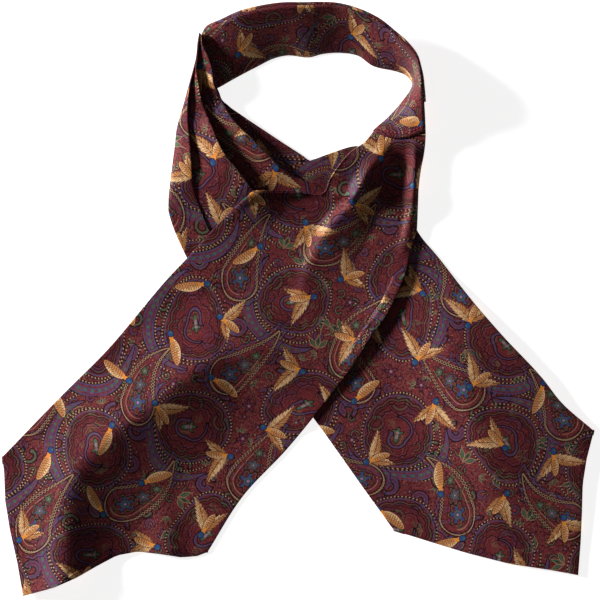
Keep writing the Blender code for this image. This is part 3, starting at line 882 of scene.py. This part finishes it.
def hem_at_shares(hem, tip, shares):
    """The hem's points at the given shares of its length, with the nearest share moved to its tip."""
    corners = hem[0]
    length = lengths_along(corners)
    length /= length[-1]
    at = shares.copy()
    at[np.abs(at - length[tip]).argmin()] = length[tip]
    return np.stack([np.interp(at, length, corners[:, k]) for k in range(2)], axis=1)


def blade_plan(sections, hem, shares):
    """Each section's points in plan: across at the given shares, then drawn out to the pointed hem."""
    rows = smooth(sections, (pair(sections, "left") + pair(sections, "right")) / 2)
    straight = between(pair(rows, "left"), pair(rows, "right"), shares)
    return straight + column(rows, "point")[:, None, None] * (hem - straight[-1])


def unit(vectors):
    """The vectors at length 1."""
    return vectors / np.maximum(np.linalg.norm(vectors, axis=-1, keepdims=True), 1e-9)


def turned(edge, inward, height, radius, under, drop):
    """Columns that turn a cloth's edge under, from its top round to its back, for each section.

    Under is how far the turned cloth runs back, and drop how much lower than the turn it ends.
    """
    out = []
    for a in np.radians(HEM_TURN):
        at = edge + inward * (radius * (1 - math.cos(a)))[:, None]
        out.append(np.column_stack([at, height - radius + radius * math.sin(a)]))
    for share in HEM_SHARES:
        at = edge + inward * (radius + under * share)[:, None]
        out.append(np.column_stack([at, height - 2 * radius - drop * share]))
    return out


left_rows = smooth(LEFT_NECK, (pair(LEFT_NECK, "roll") + pair(LEFT_NECK, "edge")) / 2)
left_lines = [pair(left_rows, name) for name in ("roll", *LIPS, "edge")]
left_widths = [np.linalg.norm(b - a, axis=1) for a, b in zip(left_lines[:-1], left_lines[1:])]
left_across = [unit(b - a) for a, b in zip(left_lines[:-1], left_lines[1:])]
left_pocket = column(left_rows, "pocket_z")
left_heights = [column(left_rows, name + "_z") for name in ("roll", *LIPS, "edge")]

# Shares of the blade's width at which its columns stand, which are those at the neck's last section.
left_bounds = np.concatenate([[0], np.cumsum([w[-1] for w in left_widths])])
left_bounds /= left_bounds[-1]
fold_count = len(FOLD_ANGLES) + len(FOLD_SHARES)
left_shares = []
for k, (start, end) in enumerate(zip(left_bounds[:-1], left_bounds[1:])):
    left_shares += list(start + (end - start) * np.linspace(0, 1, PLEAT_COLUMNS + 1))
    if k < len(LIPS):
        left_shares += [end] * fold_count
left_shares = np.array(left_shares)


def fold_room(k):
    """A lip's radius, its height over the pocket, and the width of the narrower pleat beside it."""
    narrower = np.minimum(left_widths[k - 1], left_widths[k])
    step = np.maximum(left_heights[k] - left_pocket, 0)
    return np.minimum(np.minimum(FOLD_RADIUS, 0.3 * step), 0.18 * narrower), step, narrower


strips = []
for k in range(len(LIPS) + 1):
    low = left_pocket if k else left_heights[0]
    high = left_heights[k + 1]
    start, end = left_lines[k], left_lines[k + 1]
    if k:
        radius, step, narrower = fold_room(k)
        back = np.minimum(FOLD_UNDER, 0.35 * narrower) * np.minimum(1, step / 2.5)
        outward = unit(left_across[k - 1] + left_across[k])
        bottom = left_heights[k] - 2 * radius
        for a in np.radians(FOLD_ANGLES):
            at = start - outward * (radius * (1 - math.cos(a)))[:, None]
            strips.append(np.column_stack([at, left_heights[k] - radius + radius * math.sin(a)]))
        for share in FOLD_SHARES:
            at = start - outward * (radius + (back - radius) * share)[:, None]
            strips.append(np.column_stack([at, bottom + (left_pocket - bottom) * share**0.8]))
        start = start - outward * back[:, None]
    if k < len(LIPS):
        end = end - left_across[k] * fold_room(k + 1)[0][:, None]
    for t in np.linspace(0, 1, PLEAT_COLUMNS + 1):
        rise = t**PLEAT_HOLLOW if k else t**ROLL_SWELL
        strips.append(np.column_stack([start + (end - start) * t, low + (high - low) * rise]))
left_neck = np.stack(strips, axis=1)

left_plan = blade_plan(LEFT_BLADE, hem_at_shares(LEFT_HEM, LEFT_TIP, left_shares), left_shares)
left_flat = CLOTH_RISE + crease_height(left_plan[..., 0], left_plan[..., 1], LEFT_CREASES)
left_top = np.concatenate([left_neck[:-1], np.dstack([left_plan, left_flat])])


def with_edges(top, left_radius, right_radius, left_under, right_under, left_drop, right_drop):
    """The cloth's face with both sides turned under."""
    sides = []
    for edge, next_in, radius, under, drop in (
        (top[:, 0], top[:, 2], left_radius, left_under, left_drop),
        (top[:, -1], top[:, -3], right_radius, right_under, right_drop),
    ):
        inward = unit(next_in[:, :2] - edge[:, :2])
        sides.append(turned(edge[:, :2], inward, edge[:, 2], radius, under, drop))
    body = top.copy()
    body[:, 0] = sides[0][0]
    body[:, -1] = sides[1][0]
    left = np.stack(sides[0][1:][::-1], axis=1)
    right = np.stack(sides[1][1:], axis=1)
    return np.concatenate([left, body, right], axis=1)


def with_hem(top, radius, under):
    """The cloth's face with its last section turned under, and mitred where it meets the turned sides."""
    edge, inward = top[-1], unit(top[-3, :, :2] - top[-1, :, :2])
    body = top.copy()
    inwards = np.minimum(np.arange(len(edge)), np.arange(len(edge))[::-1])
    wide = radius * np.clip(inwards / TURN_COLUMNS, CORNER_SHARE, 1)
    along = lengths_along(edge[TURN_COLUMNS:-TURN_COLUMNS, :2])
    mitred = np.zeros(len(edge))
    mitred[TURN_COLUMNS:-TURN_COLUMNS] = np.minimum(along, along[-1] - along)
    mitred = np.clip(mitred, MITRE_END, under)
    lines = turned(edge[:, :2], inward, edge[:, 2], wide, mitred, np.zeros(len(edge)))
    body[-1] = lines[0]
    whole = np.concatenate([body, np.stack(lines[1:], axis=0)], axis=0)
    whole[..., 2] = np.maximum(whole[..., 2], LEAST_HEIGHT)
    return whole


def ends(neck_value, blade_value, neck_count, total):
    """A value for each section: one on the neck, one on the blade, and a smooth change between them."""
    at = np.clip((np.arange(total) - neck_count * 0.6) / (neck_count * 0.4), 0, 1)
    return neck_value + (blade_value - neck_value) * eased(at)


count = len(left_top)
neck_count = len(left_neck)
left_grid = with_edges(
    left_top,
    ends(ROLL_RADIUS, HEM_RADIUS, neck_count, count),
    np.full(count, HEM_RADIUS),
    np.full(count, HEM_UNDER),
    np.full(count, EDGE_UNDER),
    np.zeros(count),
    np.zeros(count),
)
left_grid = with_hem(left_grid, HEM_RADIUS, HEM_UNDER)


def to_cloth(points, angle):
    """Plan points turned to the cloth's own directions, whose second one runs up to the neck."""
    c, s = np.cos(angle), np.sin(angle)
    x, y = points[..., 0], points[..., 1]
    return np.stack([x * c + y * s, y * c - x * s], axis=-1)


# Each pleat's lip is a straight fold of the cloth, so the print is placed along the lips, from the blade up.
LEFT_GRAIN = math.radians(38.3)
left_places = np.zeros((len(left_grid), left_grid.shape[1], 2))
settled = eased(np.clip((neck_count - 1 - np.arange(neck_count)) / (neck_count * 0.3), 0, 1))
strip_start = TURN_COLUMNS
for k in range(len(LIPS) + 1):
    lip = left_lines[k + 1]
    tangent = np.gradient(lip, axis=0)
    lean = np.arctan2(tangent[:, 0], -tangent[:, 1])
    angle = LEFT_GRAIN + (lean - LEFT_GRAIN) * settled
    steps = to_cloth(lip[:-1] - lip[1:], (angle[:-1] + angle[1:]) / 2)
    base = to_cloth(lip[-1], LEFT_GRAIN)
    lip_places = np.concatenate([base + np.cumsum(steps[::-1], axis=0)[::-1], [base]])
    first = strip_start if k else 0
    last = strip_start + PLEAT_COLUMNS + 1 if k < len(LIPS) else left_grid.shape[1]
    points = left_grid[:neck_count, first:last, :2] - lip[:, None]
    left_places[:neck_count, first:last] = lip_places[:, None] + to_cloth(points, angle[:, None])
    if k:
        before = left_places[:neck_count, strip_start - fold_count - 1]
        after = left_places[:neck_count, strip_start]
        for j in range(fold_count):
            t = (j + 1) / (fold_count + 1)
            left_places[:neck_count, strip_start - fold_count + j] = before + (after - before) * t
    strip_start += PLEAT_COLUMNS + 1 + fold_count
left_places[neck_count:] = to_cloth(left_grid[neck_count:, :, :2], LEFT_GRAIN)
left_cloth = cloth("left_neck_and_under_blade", left_grid, SHEET, left_places, printed_silk)
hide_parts("left_neck_under_blade")


# The right half: it comes out from under the facing's end, folds over the crossing and runs on as the top
# blade.

RIGHT_COLUMNS = 60
NECK_FOLD = 1.2  # most radius of the fold along its neck edge
NECK_RUN = (5.6, 20.0)  # how far its outer side's foot runs on past its start, below the band
NECK_RUN_SECTIONS = 10
NECK_UNDER = 5.0  # how far its neck edge is turned under
SIDE_LEAN = 0.6  # how far its outer side leans inwards below, as a share of its height
LIFT_REACH, LIFT_FALL = 8.0, 0.3  # how wide, and how steeply past that, it rises over what lies below
LIFT_PASSES = 3  # of evening that rise out
LIFT_SINK = 0.2  # most that one pass lowers a point
RIGHT_HALF = table(
    "left_x left_y right_x right_y left_z right_z point step",
    (72.5, 142.8, 96.2, 150.3, 0.1, 21.2, 0.0, 4),
    (66.4, 136.5, 96.8, 141.0, 0.6, 16.9, 0.0, 4),
    (60.1, 131.2, 97.2, 131.3, 1.1, 13.0, 0.0, 4),
    (56.0, 126.0, 97.3, 125.0, 2.6, 10.2, 0.0, 4),
    (50.5, 119.5, 96.9, 117.5, 4.6, 7.5, 0.0, 4),
    (39.5, 112.0, 95.8, 109.0, 7.5, 6.0, 0.0, 4),
    (32.0, 103.5, 94.0, 100.0, 8.5, 5.0, 0.0, 5),
    (23.5, 90.5, 92.0, 84.5, 6.5, 4.0, 0.0, 5),
    (19.5, 81.5, 91.5, 72.5, 3.0, 3.0, 0.0, 5),
    (11.5, 79.3, 91.0, 59.5, 0.0, 0.0, 0.0, 5),
    (-0.5, 81.8, 90.5, 52.0, 0.0, 0.0, 0.0, 5),
    (-11.5, 82.4, 88.5, 46.5, 0.0, 0.0, 0.0, 5),
    (-21.5, 82.6, 87.0, 42.0, 0.0, 0.0, 0.0, 5),
    (-28.5, 82.9, 86.3, 39.0, 0.0, 0.0, 0.0, 6),
    (-34.0, 82.4, 85.5, 36.0, 0.0, 0.0, 0.0, 6),
    (-38.0, 79.0, 84.8, 32.5, 0.0, 0.0, 0.0, 6),
    (-48.0, 70.0, 83.0, 23.5, 0.0, 0.0, 0.0, 7),
    (-61.5, 56.5, 76.5, 6.0, 0.0, 0.0, 0.0, 8),
    (-73.5, 43.5, 67.0, -13.0, 0.0, 0.0, 0.0, 8),
    (-84.8, 31.0, 55.5, -29.0, 0.0, 0.0, 0.0, 8),
    (-99.0, 16.0, 42.0, -50.5, 0.0, 0.0, 0.0, 10),
    (-113.5, -1.0, 23.5, -75.0, 0.0, 0.0, 0.03, 10),
    (-145.5, -39.0, -8.5, -114.5, 0.0, 0.0, 0.18, 10),
    (-180.5, -74.0, -40.5, -148.5, 0.0, 0.0, 0.48, 10),
    (-225.5, -120.5, -69.0, -193.0, 0.0, 0.0, 1.0, 10),
)
RIGHT_HEM = table(
    "x y",
    (-225.5, -120.5),
    (-224.0, -132.0),
    (-223.2, -154.0),
    (-219.6, -176.0),
    (-214.2, -200.0),
    (-209.5, -226.5),
    (-186.0, -220.1),
    (-169.0, -212.7),
    (-154.0, -204.0),
    (-138.0, -195.5),
    (-122.0, -192.5),
    (-105.0, -194.5),
    (-89.0, -197.0),
    (-77.0, -196.0),
    (-69.0, -193.0),
)
RIGHT_TIP = 5
RIGHT_CREASES = {
    "pleat ridge": (36.0, 8.0, (
        (72, 126, 0), (65, 113.5, 2.0), (55.5, 102, 4.0), (47.5, 87, 6.0), (38, 69.5, 7.5),
        (25.5, 57.5, 7.0), (16, 42, 5.0), (8, 25, 3.0), (2, 5, 1.5), (-2, -12, 0),
    )),
    "side valley": (8.0, 30.0, (
        (81, 118, 0), (81, 104, -2.0), (80, 88, -4.5), (77, 68, -5.0), (71, 48, -4.0),
        (64, 30, -2.0), (58, 14, 0),
    )),
    "side ridge": (12.0, 7.0, (
        (88, 126, 0), (89, 112, 3), (89, 98, 4.5), (88, 83, 5), (86, 64, 4), (82, 45, 2.5),
        (76, 28, 0),
    )),
    "cross pleat": (6.0, 10.0, (
        (50, 80, 0), (42.5, 79.5, 1.8), (36, 78.5, 2.4), (29, 78.5, 1.8), (22, 81, 0),
    )),
    "neck edge roll": (5.0, 14.0, (
        (22, 84, 0), (8, 82, 2), (-8, 83, 3), (-24, 82, 2), (-38, 78, 1.2), (-52, 62, 0.8),
        (-66, 46, 0),
    )),
    "long soft fold": (66.0, 50.0, (
        (30, -34, 0), (-2, -37, 2.0), (-34, -40, 6.0), (-62, -44, 10.0), (-84, -58, 12.5),
        (-107, -77, 14.0), (-138, -100, 14.5), (-166, -127, 13.5), (-179, -153, 11.5),
        (-180, -184, 9.0), (-178, -214, 7.0),
    )),
    "tip rise": (36.0, 34.0, (
        (-160, -112, 0), (-174, -150, 2.0), (-178, -182, 6.0), (-179, -212, 9.0),
        (-180, -226, 10.0),
    )),
    "hem wave": (20.0, 18.0, (
        (-100, -128, 0), (-104, -152, 1.5), (-103, -172, 3.0), (-101, -196, 4.0),
    )),
    "raised side": (10.0, 24.0, (
        (88, 40, 0), (82, 18, 1.5), (74, 0, 2.5), (64, -18, 2.8), (52, -36, 2.5), (40, -53, 1.5),
        (22, -77, 0),
    )),
}

right_shares = np.linspace(0, 1, RIGHT_COLUMNS + 1)
right_plan = blade_plan(RIGHT_HALF, hem_at_shares(RIGHT_HEM, RIGHT_TIP, right_shares), right_shares)
right_x, right_y = right_plan[..., 0], right_plan[..., 1]
below = left_top[::2, ::3].reshape(-1, 3) + (0, 0, SHEET)
right_lift = lift_over(right_x, right_y, below, LIFT_REACH, LIFT_FALL)
for _ in range(LIFT_PASSES):
    inner = right_lift[1:-1, 1:-1]
    near = right_lift[:-2, 1:-1] + right_lift[2:, 1:-1] + right_lift[1:-1, :-2] + right_lift[1:-1, 2:]
    right_lift[1:-1, 1:-1] = np.maximum(inner * 0.5 + near / 8, inner - LIFT_SINK)
right_rows = smooth(RIGHT_HALF, (pair(RIGHT_HALF, "left") + pair(RIGHT_HALF, "right")) / 2)
right_low, right_high = column(right_rows, "left_z")[:, None], column(right_rows, "right_z")[:, None]
right_raised = right_low + (right_high - right_low) * right_shares
right_raised += crease_height(right_x, right_y, RIGHT_CREASES)
right_z = right_lift + CLOTH_RISE + np.maximum(right_raised, 0)
right_top = np.dstack([right_x, right_y, right_z])
count = len(right_top)
right_stand = right_high[:, 0]
standing = right_stand > 1
right_grid = with_edges(
    right_top,
    np.clip(0.4 * right_low[:, 0], HEM_RADIUS, NECK_FOLD),
    np.full(count, HEM_RADIUS),
    np.full(count, NECK_UNDER),
    np.where(standing, 1.0 + SIDE_LEAN * right_stand, HEM_UNDER),
    np.zeros(count),
    np.where(standing, right_stand, 0),
)
right_grid = with_hem(right_grid, HEM_RADIUS, HEM_UNDER)
right_run = np.linspace(1, 0, NECK_RUN_SECTIONS)[:, None] * HEM_SHARES
right_grid[:NECK_RUN_SECTIONS, -len(HEM_SHARES) :, :2] += right_run[..., None] * NECK_RUN

# The turned-down outer side takes its print as if it were laid flat.
RIGHT_GRAIN = math.radians(-38.3)
right_plain = right_grid[..., :2].copy()
right_outer = right_grid[:, -TURN_COLUMNS - 1 :]
right_outward = unit(right_plain[:, -TURN_COLUMNS - 1] - right_plain[:, -TURN_COLUMNS - 3])
right_runs = np.linalg.norm(np.diff(right_outer, axis=1), axis=2).cumsum(axis=1)
right_plain[:, -TURN_COLUMNS:] = right_outer[:, :1, :2] + right_outward[:, None] * right_runs[..., None]
right_places = to_cloth(right_plain, RIGHT_GRAIN)
right_cloth = cloth("right_neck_and_top_blade", right_grid, SHEET, right_places, printed_silk)
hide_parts("right_neck_top_blade")


# The facing's cloth: two plies with pressed edges. It goes on after the right neck, on which its end lies,
# and that end is pressed thin and top-stitched down.

PRESSED_SECTIONS = 10  # sections over which the turned end is pressed thin
PRESSED_SHARE = 0.45
LAP_SECTIONS = 18  # sections of the right neck that the facing's end may lie on
LAP_GAP = 0.2
LAP_REACH, LAP_FALL = 1.5, 1.5

below = right_top[:LAP_SECTIONS, ::3].reshape(-1, 3) + (0, 0, LAP_GAP)
lap = lift_over(facing_under[..., 0], facing_under[..., 1], below, LAP_REACH, LAP_FALL)
facing_pressed = np.ones(len(facing_under))
facing_pressed[-PRESSED_SECTIONS:] = np.linspace(1, PRESSED_SHARE, PRESSED_SECTIONS)
facing_face = facing_under.copy()
facing_face[..., 2] = np.maximum(facing_face[..., 2], lap) + FACING_TOP * facing_pressed[:, None]
facing_across = np.linalg.norm(np.diff(facing_face, axis=1), axis=2).cumsum(axis=1)
facing_across = np.concatenate([np.zeros((len(facing_face), 1)), facing_across], axis=1)
facing_middle = facing_face[:, FACING_COLUMNS // 2]
facing_along = lengths_along(facing_middle)
facing_places = np.dstack([facing_across, np.repeat(facing_along[:, None], FACING_COLUMNS + 1, axis=1)])
facing_plies = FACING_PLIES * facing_pressed[:, None, None]
facing_cloth = cloth("band_facing_cloth", facing_face, facing_plies, facing_places, facing_silk)
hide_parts("band_facing")


# Stitches: a magenta silk thread that holds the facing's end down, the tacks that hold the left pleats
# together at the side of the neck, and the dark thread of the seam at the centre back.

THREAD_SIDES = 6
THREAD_ARCH = ((-0.5, 0.5), (-0.3, 0.9), (0.0, 1.0), (0.3, 0.9), (0.5, 0.5))  # place and thickness, as shares


def plain_material(name, colour, roughness):
    """A material of one colour."""
    material = bpy.data.materials.new(name)
    material.use_nodes = True
    shader = material.node_tree.nodes["Principled BSDF"]
    shader.inputs["Base Color"].default_value = colour
    shader.inputs["Roughness"].default_value = roughness
    return material


def stitches(name, face, path, pitch, length, radius, colour):
    """Short stitches along a path, each one an arch of thread that starts and ends in the cloth."""
    path = np.array(path, float)
    steps = lengths_along(path)
    points = face.reshape(-1, 3)
    turns = np.arange(THREAD_SIDES) * math.tau / THREAD_SIDES
    mesh = bmesh.new()
    for middle in np.arange(length / 2, steps[-1], pitch):
        thread = []
        for share, _ in THREAD_ARCH:
            at = middle + share * length
            x, y = (np.interp(at, steps, path[:, k]) for k in range(2))
            near = np.argsort(np.hypot(points[:, 0] - x, points[:, 1] - y))[:4]
            gaps = 1 / (np.hypot(points[near, 0] - x, points[near, 1] - y) + 0.05)
            z = float((points[near, 2] * gaps).sum() / gaps.sum())
            thread.append(np.array((x, y, z + radius * (1.1 - 7.0 * share * share))))
        along = unit(thread[-1] - thread[0])
        aside = unit(np.cross(along, (0, 0, 1)))
        up = np.cross(aside, along)
        outward = [aside * math.cos(a) + up * math.sin(a) for a in turns]
        loops = []
        for point, (_, swell) in zip(thread, THREAD_ARCH):
            loops.append([mesh.verts.new((point + radius * swell * out) * MM) for out in outward])
        for here, there in zip(loops[:-1], loops[1:]):
            for i in range(THREAD_SIDES):
                k = (i + 1) % THREAD_SIDES
                mesh.faces.new((here[i], here[k], there[k], there[i]))
        mesh.faces.new(loops[0])
        mesh.faces.new(loops[-1])
    return finished(name, mesh, plain_material(name.replace("_", " "), colour, 0.5))


MAGENTA = ink(176, 40, 80)
facing_end = facing_face[-3, 1:-1, :2]
end_stitches = stitches("facing_end_stitches", facing_face, facing_end, 2.9, 2.2, 0.26, MAGENTA)
tack_line = ((-71.5, 144.5), (-66.0, 147.5), (-61.5, 149.5))
stitches("pleat_tacks", left_top, tack_line, 3.0, 2.2, 0.3, MAGENTA)
seam_line = ((9.9, 222.4), (10.6, 217.0), (11.4, 210.0), (11.2, 200.0), (10.6, 188.0))
seam = stitches("centre_back_seam", facing_face, seam_line, 2.2, 2.15, 0.2, DARK)


# The surface, the light and the camera: plain pale paper that glows a little, soft low light from a window
# on the left, and a view from straight above.

FLOOR_SIZE = 6
FLOOR_GLOW = 0.82
SUN_ELEVATION = math.radians(16)
SUN_AZIMUTH = math.radians(160)  # counted from +X towards +Y
VIEW_WIDTH = 0.4572  # what the picture takes in, in metres
CAMERA_PLACE = (0.0015, -0.0008, 1.5)

bpy.ops.mesh.primitive_plane_add(size=FLOOR_SIZE)
floor = bpy.context.object
floor.name = "floor"
paper = plain_material("pale paper", (0.92, 0.92, 0.92, 1), 0.9)
paper.node_tree.nodes["Principled BSDF"].inputs["Emission Color"].default_value = (1, 1, 1, 1)
paper.node_tree.nodes["Principled BSDF"].inputs["Emission Strength"].default_value = FLOOR_GLOW
floor.data.materials.append(paper)

sun = bpy.data.objects.new("window light", bpy.data.lights.new("window light", "SUN"))
sun.data.energy = 6.6
sun.data.angle = math.radians(12)
sun.rotation_euler = (0, math.pi / 2 - SUN_ELEVATION, SUN_AZIMUTH)
bpy.context.scene.collection.objects.link(sun)

world = bpy.data.worlds.new("room")
world.use_nodes = True
world.node_tree.nodes["Background"].inputs["Color"].default_value = (1, 1, 1, 1)
world.node_tree.nodes["Background"].inputs["Strength"].default_value = 0.08
bpy.context.scene.world = world
bpy.context.scene.view_settings.view_transform = "Standard"

camera = bpy.data.objects.new("overhead camera", bpy.data.cameras.new("overhead camera"))
camera.data.type = "ORTHO"
camera.data.ortho_scale = VIEW_WIDTH
camera.location = CAMERA_PLACE
bpy.context.scene.collection.objects.link(camera)
bpy.context.scene.camera = camera
